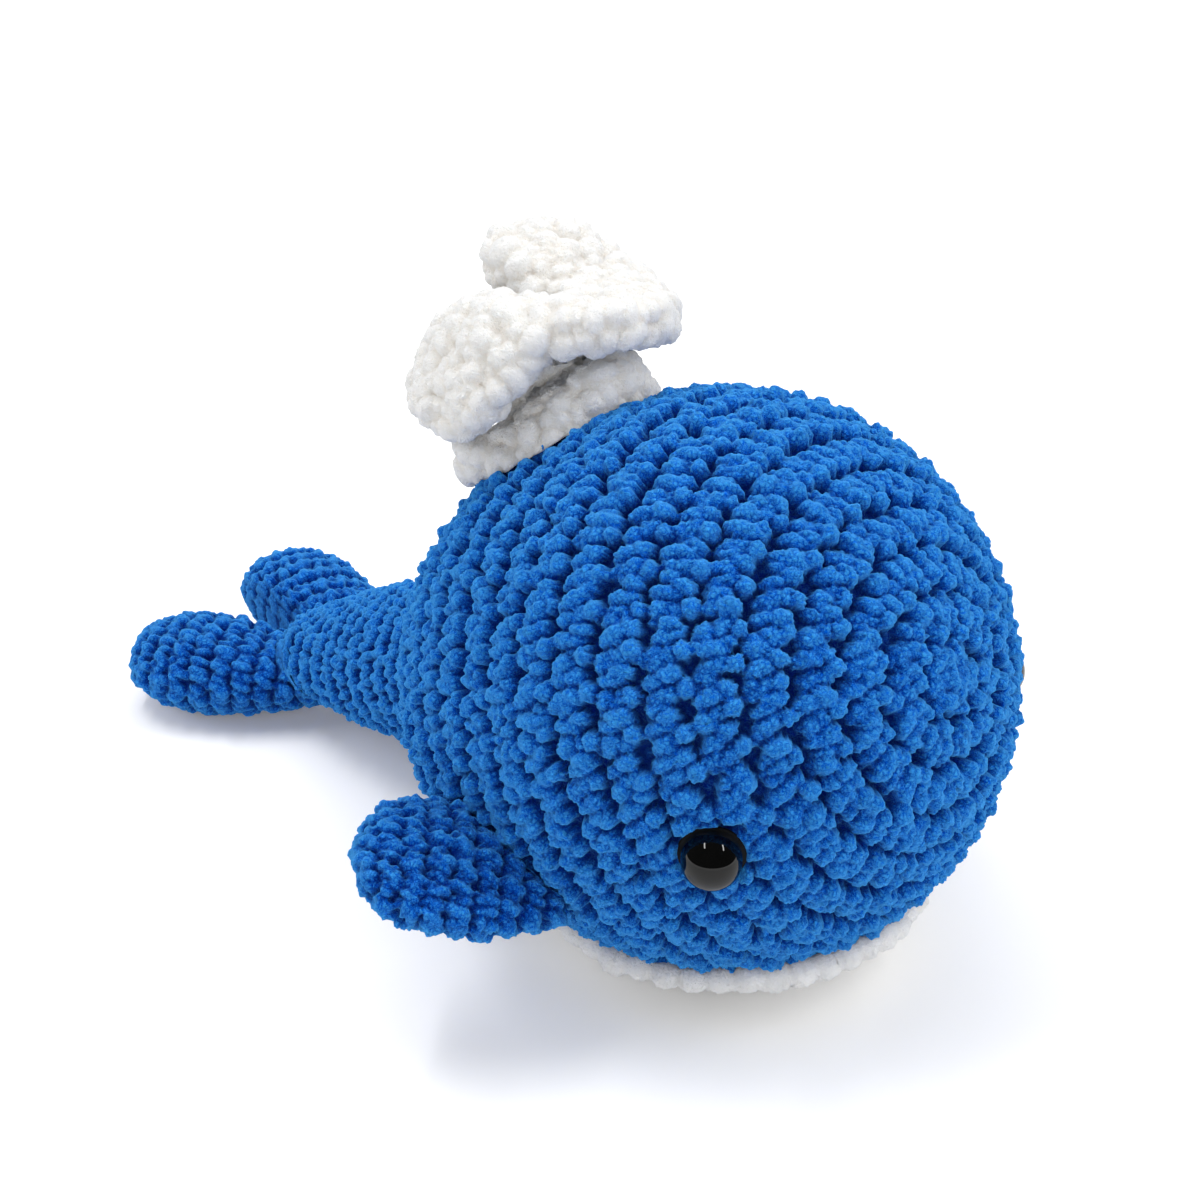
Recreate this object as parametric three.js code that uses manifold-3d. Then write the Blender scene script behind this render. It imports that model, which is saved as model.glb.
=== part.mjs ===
// Crocheted plush whale: a round stuffed body that tapers into a tail stem, a pale belly panel
// sewn under it, two side fins, two tail flukes, a curled water spout and two safety eyes.
// Units are millimetres. +X points to the nose, +Y to the whale's left, +Z up.
// The origin lies on the flat of the belly, under the middle of the round body.

import * as THREE from 'three';
import { mergeVertices } from 'three/addons/utils/BufferGeometryUtils.js';
import Module from 'manifold-3d';

const wasm = await Module();
wasm.setup();

// Driving sizes of the whole toy
const bodyRadius = 56;
const tailReach = 125;
const tailEndHeight = 15;
const tailSway = 3;
const noseTilt = THREE.MathUtils.degToRad(21.2);

// Cloth and clearances
const coverThickness = 4;
const limbCoverThickness = 3;
const seamGap = 0.3;
const overrun = 30;

// Crochet rounds of the body
const roundPitch = 8.8;

// Belly panel
const panelThickness = 3.5;
const panelLength = 84;
const panelWidth = 75;
const panelRimRound = 5;

// Side fins
const finSpan = 34.5;
const finChord = 32;
const finThickness = 16;
const finRootDepth = 7;
const finSeamRise = 6;
const finRootHeight = 32;
const finRootBack = 4.3;
const finPitch = THREE.MathUtils.degToRad(21);
const finSweep = THREE.MathUtils.degToRad(39);
const finRise = THREE.MathUtils.degToRad(19.5);
const finFlapUp = THREE.MathUtils.degToRad(30);
const finFlapDown = THREE.MathUtils.degToRad(-10);

// Tail flukes
const flukeLength = 43.5;
const flukeWidth = 33;
const flukeThickness = 22;
const flukeRootDepth = 6;
const flukeRestDepth = 0.5;
const flukeSpacing = 15;
const rightFlukeTurn = THREE.MathUtils.degToRad(30.5);
const leftFlukeTurn = THREE.MathUtils.degToRad(14);
const leftFlukeRise = THREE.MathUtils.degToRad(5);
const flukeFold = THREE.MathUtils.degToRad(35);
const flukeParting = THREE.MathUtils.degToRad(12);

// Water spout
const spoutRadius = 25;
const spoutDrop = 45;
const spoutFootLift = 1.6;
const spoutFootAhead = 2.7;
const spoutThickness = 8;
const spoutTurn = THREE.MathUtils.degToRad(43);
const spoutFootAngle = THREE.MathUtils.degToRad(62);
const spoutNod = THREE.MathUtils.degToRad(12);

// Safety eyes, one moulding each, and the lock washers behind the cloth
const eyeDiameter = 10.8;
const eyeHeight = 5;
const eyeRimDiameter = 12.4;
const eyeRimThickness = 1;
const eyeSink = 1.3;
const shankDiameter = 4;
const shankRibHeight = 0.4;
const shankLength = 12;
const shankRibs = 4;
const washerDiameter = 14;
const washerThickness = 1.4;
const washerCollarDiameter = 8.4;
const washerCollarHeight = 2;
const washerSeat = 1.1;
const eyeTurn = THREE.MathUtils.degToRad(52.4);
const eyeDrop = THREE.MathUtils.degToRad(3.5);

// Facets
const aroundBody = 30;
const noseRings = 8;
const ringsPerSpan = 3;
const arcSteps = 160;
const aroundLimb = 18;
const limbSteps = 11;
const aroundEye = 16;
const spoutSteps = 48;

const up = new THREE.Vector3(0, 0, 1);
const bodyCentre = new THREE.Vector3(0, 0, bodyRadius);
const noseAxis = new THREE.Vector3(Math.cos(noseTilt), 0, Math.sin(noseTilt));
const bodyFloor = panelThickness + seamGap;

// Materials
const yarn = (name, colour) => {
  const material = new THREE.MeshStandardMaterial({ color: colour, roughness: 0.95, metalness: 0 });
  material.name = name;
  return material;
};
const blueYarn = yarn('blue_yarn', 0x1f6fcf);
const whiteYarn = yarn('white_yarn', 0xf3f0ea);
const filling = yarn('filling', 0xf8f8f5);
const blackPlastic = new THREE.MeshStandardMaterial({ color: 0x050505, roughness: 0.08, metalness: 0 });
const washerPlastic = new THREE.MeshStandardMaterial({ color: 0xe8e8e4, roughness: 0.4, metalness: 0 });

// A closed three.js geometry as a solid that can be joined and cut
function toSolid(geometry) {
  const bare = geometry.index ? geometry.toNonIndexed() : geometry.clone();
  bare.deleteAttribute('normal');
  bare.deleteAttribute('uv');
  const merged = mergeVertices(bare);
  return new wasm.Manifold(new wasm.Mesh({
    numProp: 3,
    vertProperties: new Float32Array(merged.attributes.position.array),
    triVerts: new Uint32Array(merged.index.array),
  }));
}

// A cut solid back as a three.js geometry
function toGeometry(solid) {
  const cut = solid.getMesh();
  const geometry = new THREE.BufferGeometry();
  geometry.setAttribute('position', new THREE.BufferAttribute(new Float32Array(cut.vertProperties), 3));
  geometry.setIndex(new THREE.BufferAttribute(new Uint32Array(cut.triVerts), 1));
  geometry.computeVertexNormals();
  return geometry;
}

function mesh(name, geometry, material) {
  const piece = new THREE.Mesh(geometry, material.clone());
  piece.name = name;
  return piece;
}

// A closed skin over rings of points; both ends close on a middle point
function loftGeometry(rings, firstTip, lastTip) {
  const around = rings[0].length;
  const points = [firstTip, ...rings.flat(), lastTip];
  const at = (ring, step) => 1 + ring * around + (step % around);
  const faces = [];
  for (let step = 0; step < around; step += 1) {
    faces.push(0, at(0, step), at(0, step + 1));
    for (let ring = 0; ring + 1 < rings.length; ring += 1) {
      faces.push(at(ring, step), at(ring + 1, step), at(ring + 1, step + 1));
      faces.push(at(ring, step), at(ring + 1, step + 1), at(ring, step + 1));
    }
    faces.push(points.length - 1, at(rings.length - 1, step + 1), at(rings.length - 1, step));
  }
  const geometry = new THREE.BufferGeometry();
  geometry.setAttribute('position', new THREE.Float32BufferAttribute(points.flatMap((p) => p.toArray()), 3));
  geometry.setIndex(faces);
  return geometry;
}

// Everything above a height, used to cut a soft form flat
function above(height) {
  const size = 4 * tailReach;
  const box = new THREE.BoxGeometry(size, size, size);
  box.translate(0, 0, height + size / 2);
  return toSolid(box);
}

// Body: half a ball round the nose, then rings along a spine that sinks to the tail end.
// Each row: way to the tail end as a share of the tail reach, then spine height, half width, rise
// above the spine and drop below it as shares of the body radius.
const bodyShares = [
  [0, 1, 1, 1, 1],
  [0.145, 0.886, 0.948, 0.948, 0.93],
  [0.32, 0.73, 0.81, 0.81, 0.64],
  [0.445, 0.64, 0.575, 0.585, 0.47],
  [0.56, 0.55, 0.385, 0.385, 0.34],
  [0.76, 0.39, 0.325, 0.325, 0.27],
  [0.89, 0.31, 0.295, 0.26, 0.2],
  [1, 0.27, 0.27, 0.17, 0.16],
];

const endHeightShare = bodyShares[bodyShares.length - 1][1];
const spinePoints = bodyShares.map(([reach, height]) => new THREE.Vector3(
  -reach * tailReach,
  tailSway * reach ** 3,
  tailEndHeight + (height - endHeightShare) / (1 - endHeightShare) * (bodyRadius - tailEndHeight),
));
const bodySpine = new THREE.CatmullRomCurve3(
  [bodyCentre.clone().addScaledVector(noseAxis, bodyRadius / 3), ...spinePoints],
  false,
  'catmullrom',
);
const bodySizes = bodyShares.map(([, , side, rise, drop]) => new THREE.Vector3(side, rise, drop)
  .multiplyScalar(bodyRadius));
const bodyGirth = new THREE.CatmullRomCurve3([bodySizes[0], ...bodySizes], false, 'catmullrom');
const tailStation = bodyShares.length - 1;

// One ring of the body. Station -1 is the nose, 0 the widest ring and each whole number after it a
// row of the body shares, up to the tail station.
function bodyRing(station, grow) {
  const polar = Math.min(1 + station, 1) * Math.PI / 2;
  const place = (1 + Math.max(station, 0)) / bodyShares.length;
  const onSpine = station > 0;
  const ahead = onSpine ? bodySpine.getTangent(place).negate() : noseAxis;
  const centre = onSpine
    ? bodySpine.getPoint(place)
    : bodyCentre.clone().addScaledVector(noseAxis, (bodyRadius + grow) * Math.cos(polar));
  if (station === tailStation) centre.addScaledVector(ahead, -grow);
  const size = onSpine
    ? bodyGirth.getPoint(place).addScalar(grow)
    : new THREE.Vector3(1, 1, 1).multiplyScalar((bodyRadius + grow) * Math.sin(polar));
  const side = new THREE.Vector3().crossVectors(up, ahead).normalize();
  const rise = new THREE.Vector3().crossVectors(ahead, side);
  return Array.from({ length: aroundBody }, (_, step) => {
    const turn = step / aroundBody * 2 * Math.PI;
    const tall = Math.sin(turn) > 0 ? size.y : size.z;
    return centre.clone()
      .addScaledVector(side, Math.cos(turn) * size.x)
      .addScaledVector(rise, Math.sin(turn) * tall);
  });
}

// The body's skin over rings, each given by its station and by how far it grows
function bodyLoft(rings) {
  const skin = rings.map(([station, grow]) => bodyRing(station, grow));
  const firstTip = bodyCentre.clone().addScaledVector(noseAxis, bodyRadius + rings[0][1]);
  const lastTip = skin[skin.length - 1]
    .reduce((sum, point) => sum.add(point), new THREE.Vector3())
    .divideScalar(aroundBody);
  return loftGeometry(skin, firstTip, lastTip);
}

const smoothStations = [
  ...Array.from({ length: noseRings - 1 }, (_, step) => (step + 1) / noseRings - 1),
  ...Array.from({ length: tailStation * ringsPerSpan + 1 }, (_, step) => step / ringsPerSpan),
];

function bodyGeometry(grow) {
  return bodyLoft(smoothStations.map((station) => [station, grow]));
}

function bodySolid(grow, floorHeight) {
  return toSolid(bodyGeometry(grow)).intersect(above(floorHeight));
}

// Crochet rounds: the cover swells in one ridge a round and sinks in a crease between two rounds.
// Each row: way from nose to tail as a share, then the pitch of the rounds there as a share of the
// round pitch.
const roundPitchShares = [
  [0, 1],
  [0.5, 1],
  [0.62, 0.85],
  [0.75, 0.64],
  [1, 0.6],
];
const firstRoundShare = 0.35;
const ridgeShare = 0.28;
const creaseShare = 0.6;

// Value at a place between the rows of two lists that rise together
function between(place, places, values) {
  const next = Math.max(1, places.findIndex((value) => value >= place));
  return THREE.MathUtils.mapLinear(place, places[next - 1], places[next], values[next - 1], values[next]);
}

// Rings of the ridged cover: two on the crest of each round and one in the crease after it
function roundRings() {
  const stations = Array.from(
    { length: arcSteps + 1 },
    (_, step) => step / arcSteps * (1 + tailStation) - 1,
  );
  const ways = [0];
  for (let step = 1; step <= arcSteps; step += 1) {
    const before = bodyRing(stations[step - 1], 0);
    const here = bodyRing(stations[step], 0);
    const onward = here.reduce((sum, point, i) => sum + point.distanceTo(before[i]), 0) / aroundBody;
    ways.push(ways[step - 1] + onward);
  }
  const wayToTail = ways[arcSteps];
  const [wayShares, pitchShares] = [0, 1].map((column) => roundPitchShares.map((row) => row[column]));
  const rings = [];
  let way = roundPitch * firstRoundShare;
  while (way < wayToTail) {
    const pitchShare = between(way / wayToTail, wayShares, pitchShares);
    const pitch = roundPitch * pitchShare;
    const crease = coverThickness * creaseShare * pitchShare;
    rings.push([way - pitch * ridgeShare, 0], [way + pitch * ridgeShare, 0], [way + pitch / 2, -crease]);
    way += pitch;
  }
  return rings.slice(1)
    .filter(([ringWay]) => ringWay < wayToTail - roundPitch * ridgeShare)
    .map(([ringWay, grow]) => [between(ringWay, ways, stations), grow])
    .concat([[tailStation, 0]]);
}

const bodyOutline = bodySolid(seamGap, bodyFloor - seamGap);

// A solid turned about a line, for the room that a sewn piece needs when it bends at its seam
function turned(geometry, point, axis, angle) {
  geometry.translate(-point.x, -point.y, -point.z);
  geometry.applyMatrix4(new THREE.Matrix4().makeRotationAxis(axis, angle));
  geometry.translate(point.x, point.y, point.z);
  return toSolid(geometry);
}

// Safety eyes: dome, rim and ribbed shank are one moulding
function eyeGeometry() {
  const domeRadius = eyeDiameter / 2;
  const domeShares = [0, 0.25, 0.5, 0.75, 1];
  const points = domeShares.map((share) => new THREE.Vector2(
    domeRadius * Math.sin(share * Math.PI / 2),
    eyeRimThickness + eyeHeight * Math.cos(share * Math.PI / 2),
  ));
  const rimRadius = eyeRimDiameter / 2;
  const shankRadius = shankDiameter / 2;
  points.push(new THREE.Vector2(rimRadius, eyeRimThickness / 2));
  points.push(new THREE.Vector2(rimRadius - eyeRimThickness / 2, 0));
  points.push(new THREE.Vector2(shankRadius, 0));
  const ribPitch = shankLength / (shankRibs + 1);
  for (let rib = 1; rib <= shankRibs; rib += 1) {
    const middle = -rib * ribPitch;
    points.push(new THREE.Vector2(shankRadius, middle + ribPitch / 4));
    points.push(new THREE.Vector2(shankRadius + shankRibHeight, middle));
    points.push(new THREE.Vector2(shankRadius, middle - ribPitch / 4));
  }
  points.push(new THREE.Vector2(shankRadius, -shankLength + shankRadius / 4));
  points.push(new THREE.Vector2(shankRadius * 3 / 4, -shankLength));
  points.push(new THREE.Vector2(0, -shankLength));
  return closedLathe(points, aroundEye);
}

// A lathe whose profile runs from the axis round to the axis, turned so that its faces point out
function closedLathe(points, around) {
  const geometry = new THREE.LatheGeometry(points.slice().reverse(), around);
  geometry.deleteAttribute('normal');
  geometry.deleteAttribute('uv');
  return toGeometry(toSolid(weldedAxis(geometry)));
}

// The lathe's copies of an axis point or of its seam become one point each
function weldedAxis(geometry) {
  const position = geometry.attributes.position;
  for (let i = 0; i < position.count; i += 1) {
    const far = Math.hypot(position.getX(i), position.getZ(i));
    if (far < Number.EPSILON * bodyRadius) {
      position.setX(i, 0);
      position.setZ(i, 0);
    }
  }
  const merged = mergeVertices(geometry, seamGap / 1000);
  const index = [];
  for (let i = 0; i < merged.index.count; i += 3) {
    const [a, b, c] = [0, 1, 2].map((step) => merged.index.getX(i + step));
    if (a !== b && b !== c && c !== a) index.push(a, b, c);
  }
  merged.setIndex(index);
  return merged;
}

// Lock washer: a flat ring with a collar, open along the shank
const washerBore = shankDiameter / 2 + shankRibHeight + seamGap;
function washerGeometry() {
  const outer = washerDiameter / 2;
  const collar = washerCollarDiameter / 2;
  const round = washerThickness / 4;
  const back = -washerThickness;
  const points = [
    new THREE.Vector2(washerBore, 0),
    new THREE.Vector2(outer - round, 0),
    new THREE.Vector2(outer, -round),
    new THREE.Vector2(outer, back + round),
    new THREE.Vector2(outer - round, back),
    new THREE.Vector2(collar, back),
    new THREE.Vector2(collar - round, back - washerCollarHeight),
    new THREE.Vector2(washerBore, back - washerCollarHeight),
    new THREE.Vector2(washerBore, 0),
  ];
  return closedLathe(points, aroundEye);
}

// Cylinder along an eye's axis between two distances from the body's middle
function eyeBore(direction, radius, from, to) {
  const cylinder = new THREE.CylinderGeometry(radius, radius, to - from, aroundEye);
  cylinder.translate(0, (from + to) / 2, 0);
  cylinder.applyQuaternion(new THREE.Quaternion().setFromUnitVectors(new THREE.Vector3(0, 1, 0), direction));
  cylinder.translate(bodyCentre.x, bodyCentre.y, bodyCentre.z);
  return toSolid(cylinder);
}

const eyeDirections = {
  right: new THREE.Vector3(
    Math.cos(eyeDrop) * Math.cos(eyeTurn),
    -Math.cos(eyeDrop) * Math.sin(eyeTurn),
    -Math.sin(eyeDrop),
  ),
};
eyeDirections.left = eyeDirections.right.clone().multiply(new THREE.Vector3(1, -1, 1));
const eyeSeat = bodyRadius - eyeSink;
const washerFront = bodyRadius - coverThickness - washerSeat;
const shankHole = shankDiameter / 2 + shankRibHeight + seamGap;
const shankEnd = eyeSeat - shankLength - seamGap;

// Limb: swells from its root and rounds off at the tip; shares of half width against length
const limbShares = [
  [0, 0],
  [0.56, 0],
  [0.8, 0.22],
  [0.97, 0.45],
  [0.97, 0.68],
  [0.76, 0.87],
  [0.4, 0.97],
  [0, 1],
];

function limbGeometry({ root, out, wide, length, width, thickness }, inset) {
  const reach = length - 2 * inset;
  const outline = new THREE.SplineCurve(limbShares.slice(1).map(([half, along]) => new THREE.Vector2(half, along)));
  const points = [new THREE.Vector2(0, 0), ...outline.getPoints(limbSteps)];
  points[points.length - 1].x = 0;
  const geometry = weldedAxis(unlit(new THREE.LatheGeometry(points, aroundLimb)));
  geometry.scale(width / 2 - inset, reach, thickness / 2 - inset);
  geometry.translate(0, inset, 0);
  const face = new THREE.Vector3().crossVectors(wide, out);
  geometry.applyMatrix4(new THREE.Matrix4().makeBasis(wide, out, face).setPosition(root));
  return geometry;
}

function unlit(geometry) {
  geometry.deleteAttribute('normal');
  geometry.deleteAttribute('uv');
  return geometry;
}

// A sewn limb: a cover with an open root that the body closes, and the filling inside it.
// Both are cut back by the body as it lies at rest and as it lies at the ends of the seam's bend.
// The kept room says where the limb may be, as a solid that is drawn in by the inset asked of it.
function limbPair(name, limb, seam, bends, keptRoom) {
  const bendRoom = bends.map((bend) => turned(bodyGeometry(seamGap), seam.point, seam.axis, -bend));
  const cut = (solid) => bendRoom.reduce((left, part) => left.subtract(part), solid.subtract(bodyOutline));
  const form = (inset) => toSolid(limbGeometry(limb, inset)).intersect(keptRoom(inset));
  const limbCover = cut(form(0).subtract(form(limbCoverThickness)));
  const limbFilling = cut(form(limbCoverThickness + seamGap));
  const pair = new THREE.Group();
  pair.name = `${name}_group`;
  pair.add(mesh(`${name}_cover`, toGeometry(limbCover), blueYarn));
  pair.add(mesh(`${name}_filling`, toGeometry(limbFilling), filling));
  pair.userData.seam = { point: seam.point.toArray(), axis: seam.axis.toArray() };
  return pair;
}

// Fins: sewn to the side of the body, pitched so that the front edge is lower, swept back a little
function finPair(name, side) {
  const outward = new THREE.Vector3(
    -Math.sin(finSweep),
    side * Math.cos(finSweep) * Math.cos(finRise),
    Math.sin(finRise) * Math.cos(finSweep),
  ).normalize();
  const chordGuess = new THREE.Vector3(Math.cos(finPitch), 0, -Math.sin(finPitch));
  const wide = chordGuess.addScaledVector(outward, -chordGuess.dot(outward)).normalize();
  const face = new THREE.Vector3().crossVectors(outward, wide).multiplyScalar(side);
  const seat = Math.sqrt(bodyRadius ** 2 - (finRootHeight - bodyRadius) ** 2 - finRootBack ** 2);
  const rootMiddle = new THREE.Vector3(-finRootBack, side * seat, finRootHeight);
  const limb = {
    root: rootMiddle.clone().addScaledVector(outward, -finRootDepth),
    out: outward,
    wide,
    length: finSpan + finRootDepth,
    width: finChord,
    thickness: finThickness,
  };
  const faceUp = face.z > 0 ? face : face.negate();
  const seam = {
    point: rootMiddle.clone().addScaledVector(faceUp, finSeamRise),
    axis: wide.clone().multiplyScalar(side),
  };
  return limbPair(name, limb, seam, [finFlapUp, finFlapDown], above);
}

// The room on one side of the upright cut between the flukes, which opens away from the stem
function besideParting(side, inset) {
  const size = 4 * tailReach;
  const middleTurn = (rightFlukeTurn - leftFlukeTurn) / 2;
  const box = new THREE.BoxGeometry(size, size, size);
  box.translate(0, side * ((size + seamGap) / 2 + inset), inset + size / 2);
  box.rotateZ(middleTurn - side * flukeParting);
  box.translate(flukeRootDepth - tailReach, tailSway, 0);
  return toSolid(box);
}

// Flukes: sewn side by side to the end of the tail stem, lying out on the floor
function flukePair(name, side, turn, rise) {
  const outward = new THREE.Vector3(
    -Math.cos(turn) * Math.cos(rise),
    side * Math.sin(turn) * Math.cos(rise),
    Math.sin(rise),
  );
  const wide = new THREE.Vector3().crossVectors(up, outward).normalize();
  const rootMiddle = new THREE.Vector3(
    -tailReach,
    tailSway + side * flukeSpacing / 2,
    flukeThickness / 2 - flukeRestDepth,
  );
  const limb = {
    root: rootMiddle.clone().addScaledVector(outward, -flukeRootDepth),
    out: outward,
    wide,
    length: flukeLength + flukeRootDepth,
    width: flukeWidth,
    thickness: flukeThickness,
  };
  const seam = {
    point: rootMiddle.clone().addScaledVector(up, flukeThickness / 3),
    axis: wide.clone().negate(),
  };
  return limbPair(name, limb, seam, [flukeFold], (inset) => besideParting(side, inset));
}

// The spout's seam lies on the round of the body, behind the top of the head
const spoutSeam = {
  point: bodyCentre.clone().add(new THREE.Vector3(
    -Math.sin(spoutFootAngle),
    0,
    Math.cos(spoutFootAngle),
  ).multiplyScalar(bodyRadius + seamGap)),
  axis: new THREE.Vector3(0, -1, 0),
};

// Water spout: one strip that winds down round an upright line, its outer edge drooping.
// Each row: turn in degrees, then radius and height shares of the inner edge, the middle and the
// outer edge. Radius shares are of the spout radius and height shares of the whole drop.
const spoutShares = [
  [135, 0.25, 0.8, 0.48, 0.9, 0.7, 0.95],
  [115, 0.16, 0.79, 0.5, 0.9, 0.84, 0.97],
  [80, 0.1, 0.78, 0.5, 0.9, 0.86, 0.99],
  [45, 0.08, 0.77, 0.52, 0.82, 0.9, 0.82],
  [5, 0.08, 0.76, 0.55, 0.8, 0.96, 0.76],
  [-40, 0.08, 0.76, 0.5, 0.82, 0.87, 0.86],
  [-90, 0.08, 0.76, 0.36, 0.8, 0.6, 0.78],
  [-135, 0.1, 0.77, 0.5, 0.78, 0.88, 0.44],
  [-180, 0.12, 0.74, 0.6, 0.73, 1, 0.45],
  [-225, 0.12, 0.66, 0.6, 0.62, 0.92, 0.4],
  [-270, 0.14, 0.58, 0.42, 0.54, 0.68, 0.4],
  [-315, 0.28, 0.58, 0.48, 0.48, 0.68, 0.38],
  [-360, 0.4, 0.6, 0.58, 0.46, 0.7, 0.32],
  [-405, 0.42, 0.58, 0.58, 0.43, 0.7, 0.28],
  [-450, 0.32, 0.46, 0.5, 0.33, 0.64, 0.22],
  [-495, 0.14, 0.26, 0.4, 0.23, 0.64, 0.17],
  [-530, 0.2, 0.16, 0.42, 0.16, 0.72, 0.14],
];

function spoutGeometry() {
  const floor = spoutSeam.point.z + spoutFootLift;
  const middleLine = spoutSeam.point.x + spoutFootAhead;
  const edge = (column) => new THREE.CatmullRomCurve3(
    spoutShares.map((row) => new THREE.Vector3(
      THREE.MathUtils.degToRad(row[0]),
      row[column] * spoutRadius,
      floor + row[column + 1] * spoutDrop,
    )),
    false,
    'catmullrom',
  );
  const edges = [edge(1), edge(3), edge(5)];
  const half = spoutThickness / 2;
  const rings = [];
  for (let step = 0; step <= spoutSteps; step += 1) {
    const place = step / spoutSteps;
    const [inner, middle, outer] = edges.map((curve) => curve.getPoint(place));
    const turn = spoutTurn + inner.x;
    const flat = [inner, middle, outer].map((point) => new THREE.Vector2(point.y, point.z));
    const rib = new THREE.SplineCurve(flat);
    const swell = Math.sqrt(Math.min(1, 4 * Math.min(place, 1 - place) * spoutShares.length / 4 + 1 / 4));
    const upper = [];
    const lower = [];
    [0.06, 0.3, 0.55, 0.8, 0.95].forEach((share) => {
      const point = rib.getPoint(share);
      const along = rib.getTangent(share);
      const thin = half * swell * (share < 0.1 || share > 0.9 ? 0.72 : 1);
      upper.push(new THREE.Vector2(point.x - along.y * thin, point.y + along.x * thin));
      lower.push(new THREE.Vector2(point.x + along.y * thin, point.y - along.x * thin));
    });
    const loop = [flat[0], ...upper, flat[2], ...lower.reverse()];
    rings.push(loop.map((point) => new THREE.Vector3(
      middleLine + point.x * Math.cos(turn),
      point.x * Math.sin(turn),
      point.y,
    )));
  }
  const middleOf = (ring) => ring.reduce((sum, point) => sum.add(point), new THREE.Vector3())
    .divideScalar(ring.length);
  return loftGeometry(rings, middleOf(rings[0]), middleOf(rings[rings.length - 1]));
}

// Assembly
const whale = new THREE.Group();
whale.name = 'plush_whale';

const coverInside = bodySolid(-coverThickness, bodyFloor + coverThickness);
let cover = toSolid(bodyLoft(roundRings())).intersect(above(bodyFloor)).subtract(coverInside);
const fillInset = coverThickness + seamGap;
let fill = bodySolid(-fillInset, bodyFloor + fillInset);
for (const direction of Object.values(eyeDirections)) {
  cover = cover.subtract(eyeBore(direction, shankHole, shankEnd, bodyRadius + overrun));
  cover = cover.subtract(eyeBore(direction, eyeRimDiameter / 2 + seamGap, eyeSeat - seamGap, bodyRadius + overrun));
  fill = fill.subtract(eyeBore(direction, shankHole, shankEnd, bodyRadius + overrun));
  const washerBack = washerFront - washerThickness - seamGap;
  fill = fill.subtract(eyeBore(direction, washerDiameter / 2 + seamGap, washerBack, bodyRadius + overrun));
  const collarBack = washerFront - washerThickness - washerCollarHeight - seamGap;
  fill = fill.subtract(eyeBore(direction, washerCollarDiameter / 2 + seamGap, collarBack, bodyRadius));
}
whale.add(mesh('body_cover', toGeometry(cover), blueYarn));
whale.add(mesh('body_filling', toGeometry(fill), filling));

// The belly panel hugs the underside and is flat where the toy rests
const panelOutline = new THREE.SphereGeometry(1, aroundBody, aroundBody / 2);
panelOutline.rotateX(Math.PI / 2);
panelOutline.scale(panelLength / 2, panelWidth / 2, bodyRadius / 2);
panelOutline.translate(0, 0, panelRimRound);
const panel = bodySolid(panelThickness + seamGap, 0)
  .intersect(toSolid(weldedAxis(unlit(panelOutline))))
  .subtract(bodyOutline)
  .intersect(toSolid(new THREE.BoxGeometry(panelLength, panelWidth, bodyRadius / 2).translate(0, 0, bodyRadius / 8)));
whale.add(mesh('belly_panel', toGeometry(panel), whiteYarn));

for (const [side, direction] of Object.entries(eyeDirections)) {
  const axis = new THREE.Group();
  axis.name = `${side}_eye_axis`;
  axis.position.copy(bodyCentre);
  axis.quaternion.setFromUnitVectors(new THREE.Vector3(0, 1, 0), direction);
  const eye = mesh(`${side}_eye`, eyeGeometry(), blackPlastic);
  eye.position.y = eyeSeat;
  const washer = mesh(`${side}_eye_washer`, washerGeometry(), washerPlastic);
  washer.position.y = washerFront;
  axis.add(eye, washer);
  whale.add(axis);
}

whale.add(finPair('right_fin', -1));
whale.add(finPair('left_fin', 1));
whale.add(flukePair('right_fluke', -1, rightFlukeTurn, 0));
whale.add(flukePair('left_fluke', 1, leftFlukeTurn, leftFlukeRise));

const spoutRoom = turned(bodyGeometry(seamGap), spoutSeam.point, spoutSeam.axis, -spoutNod);
const spout = toSolid(spoutGeometry()).subtract(bodyOutline).subtract(spoutRoom);
const spoutMesh = mesh('spout', toGeometry(spout), whiteYarn);
spoutMesh.userData.seam = { point: spoutSeam.point.toArray(), axis: spoutSeam.axis.toArray() };
whale.add(spoutMesh);

export default whale;
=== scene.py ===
import math
import random

import bmesh
import bpy
import numpy as np
from mathutils import Matrix, Vector, kdtree
from mathutils.bvhtree import BVHTree


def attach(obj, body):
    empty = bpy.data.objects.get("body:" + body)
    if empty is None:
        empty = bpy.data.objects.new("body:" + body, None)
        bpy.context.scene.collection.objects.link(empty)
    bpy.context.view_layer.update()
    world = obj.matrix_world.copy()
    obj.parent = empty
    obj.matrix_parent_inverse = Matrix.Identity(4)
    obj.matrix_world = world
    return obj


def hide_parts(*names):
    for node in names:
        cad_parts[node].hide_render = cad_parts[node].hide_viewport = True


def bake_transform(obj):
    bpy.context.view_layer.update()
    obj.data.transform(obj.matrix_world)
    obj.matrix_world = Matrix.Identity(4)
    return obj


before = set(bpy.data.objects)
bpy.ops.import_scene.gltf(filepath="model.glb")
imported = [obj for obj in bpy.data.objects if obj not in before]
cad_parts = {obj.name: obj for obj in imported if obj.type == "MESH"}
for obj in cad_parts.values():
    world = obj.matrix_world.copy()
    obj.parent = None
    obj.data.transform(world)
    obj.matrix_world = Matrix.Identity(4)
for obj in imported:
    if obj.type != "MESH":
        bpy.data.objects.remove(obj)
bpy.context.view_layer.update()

# Crocheted plush whale: chenille stitches are laid in rounds over the forms of the packed
# model, grown together into one cloth, and roughened with the yarn's pile.

mm = 0.001

# Body
body_radius = 56 * mm
tail_reach = 125 * mm
tail_end_height = 15 * mm
tail_sway = 3 * mm
tail_round = 4 * mm
stem_start = 35 * mm
stem_change = 50 * mm
nose_tilt = math.radians(21.2)
body_floor = 3.8 * mm

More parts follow.
